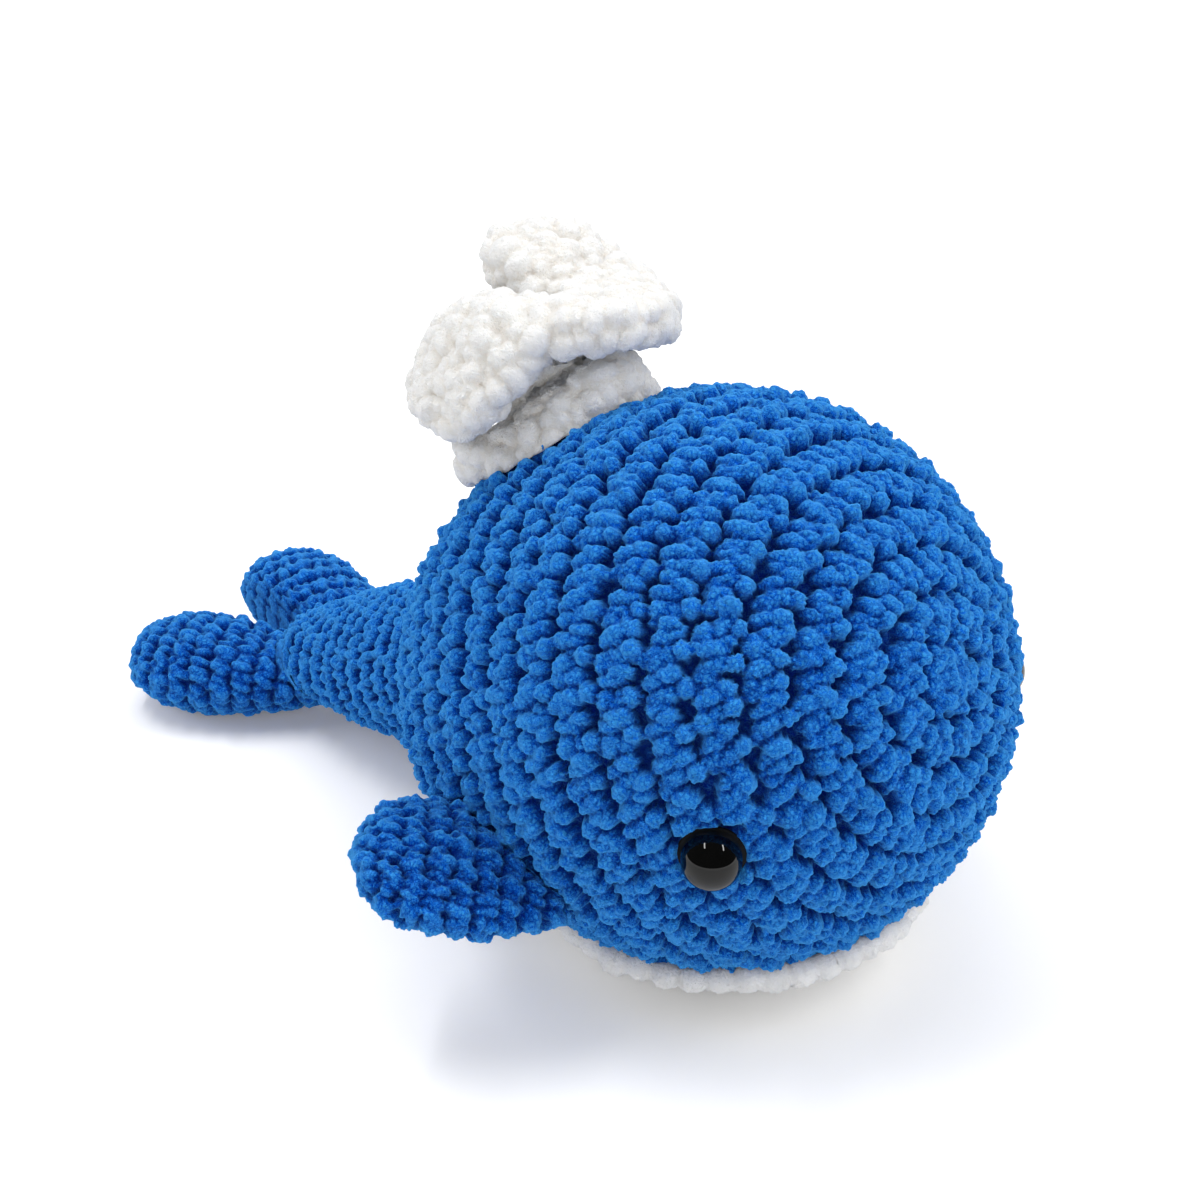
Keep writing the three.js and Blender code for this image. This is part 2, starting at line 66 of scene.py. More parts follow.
# Belly panel
panel_length = 84 * mm
panel_width = 75 * mm
panel_rim_round = 5 * mm
panel_thickness = 3.5 * mm
panel_core_shares = (0.03, 1.03)
panel_core_low = 1.2 * mm
panel_core_high = 2.4 * mm
panel_rim_puffs = 48
panel_rim_puff = (3.7, 3.0, 2.8)

# Side fins
fin_span = 34.5 * mm
fin_chord = 32 * mm
fin_thickness = 16 * mm
fin_root_depth = 7 * mm
fin_root_height = 32 * mm
fin_root_back = 4.3 * mm
fin_pitch = math.radians(21)
fin_sweep = math.radians(39)
fin_rise = math.radians(19.5)

# Tail flukes
fluke_length = 43.5 * mm
fluke_width = 33 * mm
fluke_thickness = 22 * mm
fluke_root_depth = 6 * mm
fluke_rest_depth = 0.5 * mm
fluke_spacing = 15 * mm
right_fluke_turn = math.radians(30.5)
left_fluke_turn = math.radians(14)
left_fluke_rise = math.radians(5)
fluke_parting = math.radians(12)

# Water spout
spout_radius = 25 * mm
spout_drop = 45 * mm
spout_foot_lift = 1.6 * mm
spout_foot_ahead = 2.7 * mm
spout_thickness = 8 * mm
spout_swell = 0.4 * mm
spout_core_foot = 10.5 * mm
spout_core_top = 5 * mm
spout_core_share = 0.74
spout_turn = math.radians(43)
spout_foot_angle = math.radians(62)
spout_seam_angle = math.radians(50)
spout_stretch = 18 * mm
seam_gap = 0.3 * mm

# Safety eyes
eye_diameter = 10.8 * mm
eye_height = 5 * mm
eye_rim_diameter = 12.4 * mm
eye_rim_thickness = 1 * mm
eye_sink = 1.3 * mm
eye_wall = {"right": 1.4 * mm, "left": 0.8 * mm}
eye_turn = math.radians(52.4)
eye_drop = math.radians(4)

# Yarn: how far apart the rounds and the stitches of a round lie, and how far the yarn stands up
body_round_pitch = 8.8 * mm
body_stitch_pitch = 7.4 * mm
ball_yarn_depth = 2.8 * mm
stem_yarn_depth = 1.8 * mm
fin_stitch_pitch = 5.0 * mm
fluke_stitch_pitch = 5.4 * mm
limb_yarn_depth = 2.2 * mm
panel_round_pitch = 5.9 * mm
panel_stitch_pitch = 5.3 * mm
white_yarn_depth = 2.2 * mm
white_crease_depth = 0.25 * mm
crease_width = 0.7 * mm
over_seam = 0.6 * mm
seam_reach = 30 * mm
first_round_share = 0.35
last_round_share = 0.2
round_start_step = 0.37

# Size of a cloth's faces: the body's, and the other pieces'
fine_voxel = 0.45 * mm
plain_voxel = 0.5 * mm

# Camera: where it stands and what one pixel spans
camera_place = Vector((234.353, -289.402, 271.0)) * mm
camera_ahead = Vector((-0.59937, 0.64805, -0.46988))
camera_up = Vector((-0.31905, 0.34496, 0.88273))
photo_width = 1200
pixels_per_focal_length = 2193

up = np.array([0.0, 0.0, 1.0])
body_centre = np.array([0.0, 0.0, body_radius])
nose_axis = np.array([math.cos(nose_tilt), 0.0, math.sin(nose_tilt)])

# Each row: way to the tail end as a share of the tail reach, then spine height, half width, rise
# above the spine and drop below it as shares of the body radius
body_shares = np.array([
    [0, 1, 1, 1, 1],
    [0.145, 0.886, 0.948, 0.948, 0.93],
    [0.32, 0.73, 0.81, 0.81, 0.64],
    [0.445, 0.64, 0.575, 0.585, 0.47],
    [0.56, 0.55, 0.385, 0.385, 0.34],
    [0.76, 0.39, 0.325, 0.325, 0.27],
    [0.89, 0.31, 0.295, 0.26, 0.2],
    [1, 0.27, 0.27, 0.17, 0.16],
])


# Curves and forms

def unit(vector):
    return vector / np.linalg.norm(vector)


def curve_at(points, place, held_ends=False):
    """Point and direction on an even Catmull-Rom curve; place counts its points."""
    first = min(int(place), len(points) - 2)
    t = place - first
    b, c = points[first], points[first + 1]
    a = points[first - 1] if first > 0 else b if held_ends else 2 * b - c
    d = points[first + 2] if first + 2 < len(points) else c if held_ends else 2 * c - b
    leave, arrive = (c - a) / 2, (d - b) / 2
    cubic = 2 * b - 2 * c + leave + arrive
    square = 3 * c - 3 * b - 2 * leave - arrive
    point = cubic * t ** 3 + square * t ** 2 + leave * t + b
    return point, 3 * cubic * t ** 2 + 2 * square * t + leave


end_share = body_shares[-1][1]
spine = np.array([
    [
        -reach * tail_reach,
        tail_sway * reach ** 3,
        tail_end_height + (height - end_share) / (1 - end_share) * (body_radius - tail_end_height),
    ]
    for reach, height in body_shares[:, :2]
])
spine = np.vstack([body_centre + nose_axis * body_radius / 3, spine])
girth = body_shares[:, 2:] * body_radius
girth = np.vstack([girth[0], girth])
spine_end = len(body_shares) - 1


def body_ring(station, turns, grow=0.0):
    """Points of one ring of the body: station -1 is the nose, 0 the widest ring, spine_end the last
    ring of the stem, and one more station rounds off its end."""
    if station < 0:
        polar = (station + 1) * math.pi / 2
        centre = body_centre + nose_axis * (body_radius + grow) * math.cos(polar)
        ahead = nose_axis
        size = np.full(3, (body_radius + grow) * math.sin(polar))
    else:
        past = max(station - spine_end, 0) * math.pi / 2
        centre, way = curve_at(spine, 1 + station if past == 0 else 1 + spine_end)
        ahead = -unit(way) if station > 0 else nose_axis
        size = curve_at(girth, 1 + min(station, spine_end))[0] + grow
        centre = centre - ahead * math.sin(past) * (tail_round + grow)
        size = size * math.cos(past)
    side = unit(np.cross(up, ahead))
    rise = np.cross(ahead, side)
    tall = np.where(np.sin(turns) > 0, size[1], size[2])
    return centre + np.outer(np.cos(turns) * size[0], side) + np.outer(np.sin(turns) * tall, rise)


# Pitch of the body's rounds and of the stitches in a round: way from the nose to the tail, then
# the pitch there, as shares
round_pitch_shares = ([0, 0.5, 0.62, 0.75, 1], [1, 1, 0.85, 0.64, 0.6])
stitch_pitch_shares = ([0, 0.5, 0.62, 0.75, 1], [1, 1, 0.89, 0.73, 0.68])

# Depth of the yarn from the ball's stations to the stem's
yarn_depths = ([1.2, 4.5], [ball_yarn_depth, stem_yarn_depth])

# Limb: shares of half width and length, from the root to the tip
limb_shares = np.array([
    [0.56, 0], [0.8, 0.22], [0.97, 0.45], [0.97, 0.68], [0.76, 0.87], [0.4, 0.97], [0, 1],
])


class Limb:
    """A plump fin or fluke: station 0 is the tip, and the last station its root in the body."""

    def __init__(self, root, out, wide, length, width, thickness):
        self.root, self.out, self.wide = root, out, wide
        self.face = np.cross(wide, out)
        self.length, self.width, self.thickness = length, width, thickness
        self.root_station = len(limb_shares) - 1

    def ring(self, station, turns, grow=0.0):
        half, along = curve_at(limb_shares, self.root_station - station, held_ends=True)[0]
        middle = self.root + self.out * (along * (self.length + 2 * grow) - grow)
        return (
            middle
            + np.outer(np.cos(turns) * half * (self.width / 2 + grow), self.wide)
            + np.outer(np.sin(turns) * half * (self.thickness / 2 + grow), self.face)
        )


def fin_form(side):
    out = unit(np.array([
        -math.sin(fin_sweep),
        side * math.cos(fin_sweep) * math.cos(fin_rise),
        math.sin(fin_rise) * math.cos(fin_sweep),
    ]))
    chord = np.array([math.cos(fin_pitch), 0, -math.sin(fin_pitch)])
    wide = unit(chord - out * chord.dot(out))
    seat = math.sqrt(body_radius ** 2 - (fin_root_height - body_radius) ** 2 - fin_root_back ** 2)
    root = np.array([-fin_root_back, side * seat, fin_root_height]) - out * fin_root_depth
    return Limb(root, out, wide, fin_span + fin_root_depth, fin_chord, fin_thickness)


def fluke_form(side, turn, rise):
    out = np.array([
        -math.cos(turn) * math.cos(rise),
        side * math.sin(turn) * math.cos(rise),
        math.sin(rise),
    ])
    wide = unit(np.cross(up, out))
    middle = np.array([
        -tail_reach,
        tail_sway + side * fluke_spacing / 2,
        fluke_thickness / 2 - fluke_rest_depth,
    ])
    root = middle - out * fluke_root_depth
    return Limb(root, out, wide, fluke_length + fluke_root_depth, fluke_width, fluke_thickness)


# Spout: each row has a turn in degrees, then radius and height shares of the inner edge, the
# middle and the outer edge of the strip
spout_shares = np.array([
    [135, 0.25, 0.8, 0.48, 0.9, 0.7, 0.95],
    [115, 0.16, 0.79, 0.5, 0.9, 0.84, 0.97],
    [80, 0.1, 0.78, 0.5, 0.9, 0.86, 0.99],
    [45, 0.08, 0.77, 0.52, 0.82, 0.9, 0.82],
    [5, 0.08, 0.76, 0.55, 0.8, 0.96, 0.76],
    [-40, 0.08, 0.76, 0.5, 0.82, 0.87, 0.86],
    [-90, 0.08, 0.76, 0.36, 0.8, 0.6, 0.78],
    [-135, 0.1, 0.77, 0.5, 0.78, 0.88, 0.39],
    [-180, 0.12, 0.74, 0.6, 0.73, 1, 0.38],
    [-225, 0.12, 0.66, 0.6, 0.62, 0.92, 0.35],
    [-270, 0.14, 0.58, 0.42, 0.54, 0.68, 0.4],
    [-315, 0.28, 0.58, 0.48, 0.48, 0.68, 0.38],
    [-360, 0.4, 0.6, 0.58, 0.46, 0.7, 0.32],
    [-405, 0.42, 0.58, 0.58, 0.43, 0.7, 0.28],
    [-450, 0.32, 0.46, 0.5, 0.33, 0.64, 0.22],
    [-495, 0.14, 0.26, 0.4, 0.23, 0.64, 0.17],
    [-530, 0.2, 0.16, 0.42, 0.16, 0.72, 0.14],
])
spout_foot = body_centre + (body_radius + seam_gap) * np.array([
    -math.sin(spout_foot_angle), 0, math.cos(spout_foot_angle),
])
spout_floor = spout_foot[2] + spout_foot_lift
spout_line = spout_foot[0] + spout_foot_ahead


def spout_ring(share, around=24):
    """The strip's outline across at a share of its way down, as a loop of points."""
    row = curve_at(spout_shares, share * (len(spout_shares) - 1))[0]
    turn = spout_turn + math.radians(row[0])
    edges = row[1:].reshape(3, 2) * [spout_radius, spout_drop]
    half = spout_thickness / 2 + spout_swell
    loop = []
    for step in range(around):
        angle = (step + 0.5) / around * 2 * math.pi
        across = 0.5 - 0.5 * math.cos(angle)
        middle, way = curve_at(edges, across * 2, held_ends=True)
        way = unit(way)
        bulge = half * math.copysign(abs(math.sin(angle)) ** 0.5, math.sin(angle))
        shift = -spout_swell * math.cos(angle)
        radius = middle[0] - way[1] * bulge + way[0] * shift
        height = middle[1] + way[0] * bulge + way[1] * shift
        loop.append([
            spout_line + radius * math.cos(turn),
            radius * math.sin(turn),
            spout_floor + height,
        ])
    return np.array(loop)


# Meshes

def add_object(name, mesh):
    piece = bpy.data.objects.new(name, mesh)
    bpy.context.scene.collection.objects.link(piece)
    return piece


def lofted(rings):
    """A closed bmesh over rings of points, each end closed by a fan."""
    bm = bmesh.new()
    loops = []
    for ring in rings:
        verts = [bm.verts.new(point) for point in ring]
        loops.append([bm.edges.new((verts[i - 1], verts[i])) for i in range(len(verts))])
    for first, second in zip(loops, loops[1:]):
        bmesh.ops.bridge_loops(bm, edges=first + second)
    for loop in (loops[0], loops[-1]):
        cap = bmesh.ops.contextual_create(bm, geom=loop)["faces"]
        bmesh.ops.poke(bm, faces=cap)
    bmesh.ops.recalc_face_normals(bm, faces=bm.faces)
    return bm


def body_form(grow=lambda station: 0.0, floor=None, around=128, ball_rings=48, spine_rings=140):
    """The smooth body as a closed bmesh, grown by a length that may vary from station to station."""
    turns = np.linspace(0, 2 * math.pi, around, endpoint=False)
    stations = list(np.linspace(-1, 0, ball_rings, endpoint=False)[1:])
    stations += list(np.linspace(0.001, spine_end, spine_rings))
    stations += list(spine_end + np.linspace(0.15, 0.95, 7))
    bm = lofted([body_ring(station, turns, grow(station)) for station in stations])
    if floor is not None:
        for vert in bm.verts:
            vert.co.z = max(vert.co.z, floor)
    return bm


def limb_form(limb, grow, around=64, rings=60):
    turns = np.linspace(0, 2 * math.pi, around, endpoint=False)
    stations = np.linspace(0.02, limb.root_station, rings)
    return lofted([limb.ring(station, turns, grow) for station in stations])


# Crochet

# The legs of one stitch, in shares of the spacing of the rounds: place along the round and across
# it, height over the cloth, half length, half width, half height, slant in degrees and shade
# The shade column is painted shade: the lower, tucked-in legs are painted darker, and each leg's random
# tone is added later
stitch_legs = (
    (0.02, 0.00, 0.00, 0.50, 0.26, 0.28, 30, 0.0),
    (0.12, 0.12, -0.01, 0.32, 0.27, 0.28, 30, 0.0),
    (-0.36, 0.00, -0.05, 0.44, 0.22, 0.25, 14, 0.2),
    (0.34, -0.16, -0.10, 0.30, 0.21, 0.23, 8, 0.35),
    (-0.10, -0.38, -0.14, 0.22, 0.21, 0.21, 60, 0.45),
)


class Legs:
    """Puffed legs of yarn: middles, the turns that shrink each to a unit ball, and shades."""

    def __init__(self):
        self.middles, self.shrinks, self.shades = [], [], []

    def add(self, middle, axes, shade):
        self.middles.append(middle)
        self.shrinks.append(np.linalg.inv(np.stack(axes, axis=1)))
        self.shades.append(shade)

    def add_stitch(self, place, spacing, rng, loose=1):
        """Lays the legs of one stitch at a place (point, along the round, onward, outward)."""
        point, along, onward, outward = place
        stray = 0.06 * loose
        for shift_along, shift_onward, height, length, width, rise, slant, shade in stitch_legs:
            turn = math.radians(slant + rng.uniform(-14, 14) * loose)
            swell = spacing * (1 + rng.uniform(-0.08, 0.08) * loose)
            axis = -onward * math.cos(turn) - along * math.sin(turn)
            axis = unit(axis - outward * 0.1)
            across = unit(np.cross(outward, axis))
            lift = np.cross(axis, across)
            middle = (
                point
                + along * (shift_along + rng.uniform(-stray, stray)) * spacing
                + onward * (shift_onward + rng.uniform(-stray, stray)) * spacing
                + outward * (height + rng.uniform(-stray, stray) / 2) * spacing
            )
            axes = (axis * length * swell, across * width * swell, lift * rise * swell)
            self.add(middle, axes, shade + rng.uniform(-0.25, 0.25))


def lay_rounds(ring_at, stations, round_pitch, stitch_pitch, depth):
    """Where stitches lie in rounds over a form: a list of (spacing, places), from the first station.
    A place is a point and the ways along the round, onward and outward."""
    turns = np.linspace(0, 2 * math.pi, 180, endpoint=False)
    rings = np.array([ring_at(station, turns) for station in stations])
    steps = np.linalg.norm(np.diff(rings, axis=0), axis=2).mean(1)
    arc = np.concatenate([[0], np.cumsum(steps)])
    rounds = []
    reach = round_pitch(0) * first_round_share
    start = 0.0
    while reach < arc[-1] - round_pitch(1) * last_round_share:
        share = reach / arc[-1]
        station = np.interp(reach, arc, stations)
        before, here, after = (
            ring_at(np.clip(station + nudge, stations[0], stations[-1]), turns, -depth(station))
            for nudge in (-0.01, 0, 0.01)
        )
        edge = np.linalg.norm(np.roll(here, -1, axis=0) - here, axis=1)
        around = np.concatenate([[0], np.cumsum(edge)])
        count = max(5, round(around[-1] / stitch_pitch(share)))
        start += round_start_step
        places = []
        for stitch in range(count):
            way = (stitch + start) % count / count * around[-1]
            turn = np.interp(way, around, np.arange(len(turns) + 1))
            low, part = int(turn) % len(turns), turn - int(turn)
            high = (low + 1) % len(turns)
            point = here[low] * (1 - part) + here[high] * part
            along = unit(here[high] - here[low])
            onward = after[low] - before[low]
            outward = unit(np.cross(along, onward))
            onward = np.cross(outward, along)
            places.append((point, along, onward, outward))
        rounds.append((round_pitch(share), places))
        reach += round_pitch(share)
    return rounds


def remeshed(name, form, voxel):
    """A closed bmesh as an even mesh of small faces."""
    mesh = bpy.data.meshes.new(name)
    form.to_mesh(mesh)
    form.free()
    rough = add_object(name + "_rough", mesh)
    remesh = rough.modifiers.new("even", "REMESH")
    remesh.mode = "VOXEL"
    remesh.voxel_size = voxel
    depsgraph = bpy.context.evaluated_depsgraph_get()
    cloth = bpy.data.meshes.new_from_object(rough.evaluated_get(depsgraph))
    cloth.name = name
    bpy.data.objects.remove(rough)
    bpy.data.meshes.remove(mesh)
    return cloth


def move_points(mesh, points):
    mesh.vertices.foreach_set("co", points.astype(np.float32).ravel())
    mesh.update()


def raise_stitches(mesh, legs, crease_depth, nearby=9):
    """Lifts the cloth along its normals to the highest leg of yarn over each point, sinks the
    creases between legs, and gives each point's height and the shade of its leg."""
    points, normals = points_of(mesh), normals_of(mesh)
    middles, shrinks = np.array(legs.middles), np.array(legs.shrinks)
    tree = kdtree.KDTree(len(middles))
    for i, middle in enumerate(middles):
        tree.insert(middle, i)
    tree.balance()
    near = np.array([[hit[1] for hit in tree.find_n(point, nearby)] for point in points])
    height, shade = np.zeros(len(points)), np.full(len(points), 1.0)
    for part in np.array_split(np.arange(len(points)), len(points) // 40000 + 1):
        shrink = shrinks[near[part]]
        start = np.einsum("vkij,vkj->vki", shrink, points[part][:, None] - middles[near[part]])
        way = np.einsum("vkij,vj->vki", shrink, normals[part])
        square, mixed = (way * way).sum(2), (start * way).sum(2)
        inside = mixed ** 2 - square * ((start * start).sum(2) - 1)
        top = np.where(inside > 0, (np.sqrt(np.maximum(inside, 0)) - mixed) / square, 0)
        order = np.argsort(top, axis=1)
        best = np.take_along_axis(top, order[:, -1:], 1)[:, 0]
        second = np.maximum(np.take_along_axis(top, order[:, -2:-1], 1)[:, 0], 0)
        crease = np.exp(-((best - second) / crease_width) ** 2) * (best > 0)
        height[part] = np.maximum(best, 0) - crease_depth * crease
        leg = np.take_along_axis(near[part], order[:, -1:], 1)[:, 0]
        shade[part] = np.where(best > 0, np.array(legs.shades)[leg], 1)
    move_points(mesh, points + normals * np.maximum(height, 0)[:, None])
    return height, shade


def points_of(mesh):
    co = np.empty(len(mesh.vertices) * 3, np.float32)
    mesh.vertices.foreach_get("co", co)
    return co.reshape(-1, 3).astype(float)


def normals_of(mesh):
    normals = np.empty(len(mesh.vertices) * 3, np.float32)
    mesh.vertex_normals.foreach_get("vector", normals)
    return normals.reshape(-1, 3).astype(float)


def lobes(points, size, seed):
    """Rounded lumps with narrow creases between them: 1 on a lump, down to 0 in a crease."""
    scaled = points / size + seed
    cell = np.floor(scaled)
    nearest, second = np.full(len(points), 9.0), np.full(len(points), 9.0)
    for step in np.ndindex(3, 3, 3):
        corner = cell + step - 1
        for_x = np.sin(corner @ [127.1, 311.7, 74.7]) * 43758.5453 % 1
        for_y = np.sin(corner @ [269.5, 183.3, 246.1]) * 43758.5453 % 1
        for_z = np.sin(corner @ [113.5, 271.9, 124.6]) * 43758.5453 % 1
        middle = corner + np.stack([for_x, for_y, for_z], axis=1)
        away = np.linalg.norm(scaled - middle, axis=1)
        second = np.minimum(second, np.maximum(nearest, away))
        nearest = np.minimum(nearest, away)
    return np.sqrt(np.clip((second - nearest) / 0.6, 0, 1))


def smoothed(mesh, values, times):
    """Values at the points, or their places, evened out along the edges."""
    edges = np.empty(len(mesh.edges) * 2, np.int32)
    mesh.edges.foreach_get("vertices", edges)
    first, second = edges[0::2], edges[1::2]
    number = len(mesh.vertices)
    count = np.bincount(edges, minlength=number)
    columns = values.reshape(number, -1).T.copy()
    for column in columns:
        for _ in range(times):
            ahead = np.bincount(first, column[second], number)
            behind = np.bincount(second, column[first], number)
            column[:] = (column + (ahead + behind) / count) / 2
    return columns.T.reshape(values.shape)


# Materials

def node(tree, kind, inputs=None, **settings):
    """A new shader node with its settings, and each named input set or linked."""
    made = tree.nodes.new("ShaderNode" + kind)
    for name, value in settings.items():
        setattr(made, name, value)
    for socket, value in (inputs or {}).items():
        if isinstance(value, bpy.types.NodeSocket):
            tree.links.new(value, made.inputs[socket])
        else:
            made.inputs[socket].default_value = value
    return made


def mixed(tree, share, first, second):
    """The colour socket of a mix from the first colour to the second."""
    return node(tree, "Mix", {0: share, 6: first, 7: second}, data_type="RGBA").outputs[2]


def new_material(name):
    material = bpy.data.materials.new(name)
    material.use_nodes = True
    tree = material.node_tree
    return material, tree, tree.nodes["Principled BSDF"]


def chenille_group():
    """Colour and height of chenille pile: tufts in rounded lobes. The colour is painted shade and light:
    darker towards the crease colour where the cloth is deep and at the lobes' borders, and lighter
    towards the tip colour on the lobes' middles and along thin bright strands, as painted highlights.
    """
    group = bpy.data.node_groups.new("chenille pile", "ShaderNodeTree")
    for name in ("Crease shade colour", "Yarn colour", "Tip highlight colour"):
        group.interface.new_socket(name, in_out="INPUT", socket_type="NodeSocketColor")
    for name in ("Lobe size", "Depth", "Tone and light"):
        group.interface.new_socket(name, in_out="INPUT", socket_type="NodeSocketFloat")
    group.interface.new_socket("Colour", in_out="OUTPUT", socket_type="NodeSocketColor")
    group.interface.new_socket("Height", in_out="OUTPUT", socket_type="NodeSocketFloat")
    given = group.nodes.new("NodeGroupInput")
    result = group.nodes.new("NodeGroupOutput")
    place = node(group, "TexCoord")
    wander = node(group, "TexNoise", {"Vector": place.outputs["Object"], "Scale": 900.0, "Detail": 1.0})
    bent = node(group, "VectorMath", {
        0: wander.outputs["Color"], 1: (0.5 * mm,) * 3, 2: place.outputs["Object"],
    }, operation="MULTIPLY_ADD")
    per_metre = node(group, "Math", {0: 1.0, 1: given.outputs["Lobe size"]}, operation="DIVIDE")
    finer = node(group, "Math", {0: per_metre.outputs[0], 1: 2.3}, operation="MULTIPLY")
    heights = []
    for scale in (per_metre, finer):
        cells = node(group, "TexVoronoi", {"Vector": bent.outputs[0], "Scale": scale.outputs[0]},
                     feature="DISTANCE_TO_EDGE")
        heights.append(node(group, "MapRange", {
            "Value": cells.outputs["Distance"], "From Min": 0.0, "From Max": 0.38,
        }, interpolation_type="SMOOTHSTEP"))
    # Thin bright strands of fibre: a painted highlight in the colour, and also a real bump in the height
    curl = node(group, "TexNoise", {
        "Vector": place.outputs["Object"], "Scale": 1700.0, "Detail": 2.0, "Distortion": 1.5,
    })
    ridge = node(group, "Math", {0: curl.outputs["Fac"], 1: 0.5}, operation="SUBTRACT")
    ridge = node(group, "Math", {0: ridge.outputs[0]}, operation="ABSOLUTE")
    strand = node(group, "MapRange", {
        "Value": ridge.outputs[0], "From Max": 0.09, "To Min": 1.0, "To Max": 0.0,
    })
    lobe = node(group, "Mix", {0: 0.3, 2: heights[0].outputs[0], 3: heights[1].outputs[0]})
    height = node(group, "Mix", {0: 0.3, 2: lobe.outputs[0], 3: strand.outputs[0]})
    group.links.new(height.outputs[0], result.inputs["Height"])

    # Painted light and shade: the tone lightens or darkens the yarn, the lobes' middles are painted
    # lighter than their borders, and the strands are added as painted highlights
    shade = node(group, "Math", {0: given.outputs["Tone and light"], 1: 0.55, 2: -0.1}, operation="MULTIPLY_ADD")
    body = node(group, "Math", {
        0: heights[0].outputs[0], 1: 0.45, 2: shade.outputs[0],
    }, operation="MULTIPLY_ADD")
    lit = node(group, "Math", {
        0: strand.outputs[0], 1: 0.45, 2: body.outputs[0],
    }, operation="MULTIPLY_ADD")
    # Painted shade towards the crease colour, painted highlight towards the tip colour, then painted
    # shade again where the cloth is deep
    low = node(group, "MapRange", {"Value": lit.outputs[0], "From Min": -0.1, "From Max": 0.45})
    high = node(group, "MapRange", {"Value": lit.outputs[0], "From Min": 0.4, "From Max": 1.05})
    crease = given.outputs["Crease shade colour"]
    shadowed = mixed(group, low.outputs[0], crease, given.outputs["Yarn colour"])
    tipped = mixed(group, high.outputs[0], shadowed, given.outputs["Tip highlight colour"])
    deep = mixed(group, given.outputs["Depth"], tipped, crease)
    group.links.new(deep, result.inputs["Colour"])
    return group


chenille_pile = chenille_group()


def chenille_material(name, crease, yarn, tip, painted_sheen, sheen_tint, sheen, glow=0.0):
    material, tree, shader = new_material(name)
    depth = node(tree, "Attribute", attribute_name="depth")
    tone_and_light = node(tree, "Attribute", attribute_name="tone_and_light")
    pile = node(tree, "Group", node_tree=chenille_pile)
    for socket, value in (("Crease shade colour", crease), ("Yarn colour", yarn), ("Tip highlight colour", tip)):
        pile.inputs[socket].default_value = (*value, 1)
    pile.inputs["Lobe size"].default_value = 0.95 * mm
    tree.links.new(depth.outputs["Fac"], pile.inputs["Depth"])
    tree.links.new(tone_and_light.outputs["Fac"], pile.inputs["Tone and light"])
    bump = node(tree, "Bump", {"Height": pile.outputs["Height"], "Strength": 1.0, "Distance": 0.55 * mm})
    tree.links.new(bump.outputs["Normal"], shader.inputs["Normal"])
    # Painted sheen: the colour is mixed towards a pale colour where the surface is seen at a glancing
    # angle, and held out of the deep creases
    slope = node(tree, "LayerWeight", {"Blend": 0.5})
    raised = node(tree, "Math", {0: 1.0, 1: depth.outputs["Fac"]}, operation="SUBTRACT")
    grazing = node(tree, "MapRange", {
        "Value": slope.outputs["Facing"], "From Min": 0.15, "From Max": 0.95, "To Max": 0.95,
    }, interpolation_type="SMOOTHSTEP")
    pale = node(tree, "Math", {0: grazing.outputs[0], 1: raised.outputs[0]}, operation="MULTIPLY")
    colour = mixed(tree, pale.outputs[0], pile.outputs["Colour"], (*painted_sheen, 1))
    tree.links.new(colour, shader.inputs["Base Color"])
    shader.inputs["Roughness"].default_value = 0.85
    shader.inputs["Specular IOR Level"].default_value = 0.02
    shader.inputs["Sheen Weight"].default_value = sheen
    shader.inputs["Sheen Roughness"].default_value = 0.3
    shader.inputs["Subsurface Weight"].default_value = glow
    shader.inputs["Subsurface Radius"].default_value = (1.0, 0.95, 0.9)
    shader.inputs["Subsurface Scale"].default_value = 2.5 * mm
    shader.inputs["Sheen Tint"].default_value = (*sheen_tint, 1)
    return material


# The crease colour is painted shade, the tip colour a painted highlight, and the pale colour a painted
# sheen at glancing angles; the yarn colour is the yarn's own
blue_chenille = chenille_material(
    "blue_chenille",
    crease=(0.0, 0.014, 0.2),
    yarn=(0.0, 0.11, 0.66),
    tip=(0.05, 0.4, 1.0),
    painted_sheen=(0.07, 0.42, 1.0),
    sheen_tint=(0.12, 0.45, 1.0),
    sheen=0.35,
)
white_chenille = chenille_material(
    "white_chenille",
    crease=(0.9, 0.865, 0.815),
    yarn=(0.955, 0.945, 0.93),
    tip=(0.96, 0.955, 0.945),
    painted_sheen=(0.96, 0.955, 0.95),
    sheen_tint=(1.0, 1.0, 1.0),
    sheen=0.1,
    glow=0.7,
)


def gloss_material():
    material, tree, shader = new_material("black_gloss")
    place = node(tree, "TexCoord")
    faint = node(tree, "TexNoise", {"Vector": place.outputs["Object"], "Scale": 400.0, "Detail": 3.0})
    rim = node(tree, "Attribute", attribute_name="rim")
    polish = node(tree, "MapRange", {"Value": faint.outputs["Fac"], "To Min": 0.02, "To Max": 0.07})
    rough = node(tree, "Mix", {0: rim.outputs["Fac"], 2: polish.outputs[0], 3: 0.75})
    tree.links.new(rough.outputs[0], shader.inputs["Roughness"])
    shader.inputs["Specular IOR Level"].default_value = 0.3
    colour = mixed(tree, faint.outputs["Fac"], (0.0005, 0.0005, 0.0005, 1), (0.0015, 0.0015, 0.0015, 1))
    tree.links.new(colour, shader.inputs["Base Color"])
    return material


black_gloss = gloss_material()


def washer_material():
    material, tree, shader = new_material("washer_plastic")
    place = node(tree, "TexCoord")
    grain = node(tree, "TexNoise", {"Vector": place.outputs["Object"], "Scale": 900.0, "Detail": 3.0})
    colour = mixed(tree, grain.outputs["Fac"], (0.74, 0.74, 0.71, 1), (0.82, 0.82, 0.79, 1))
    tree.links.new(colour, shader.inputs["Base Color"])
    shader.inputs["Roughness"].default_value = 0.45
    return material


washer_plastic = washer_material()


def keep_value(mesh, name, values):
    attribute = mesh.attributes.new(name, "FLOAT", "POINT")
    attribute.data.foreach_set("value", values.astype(np.float32))


# Pieces

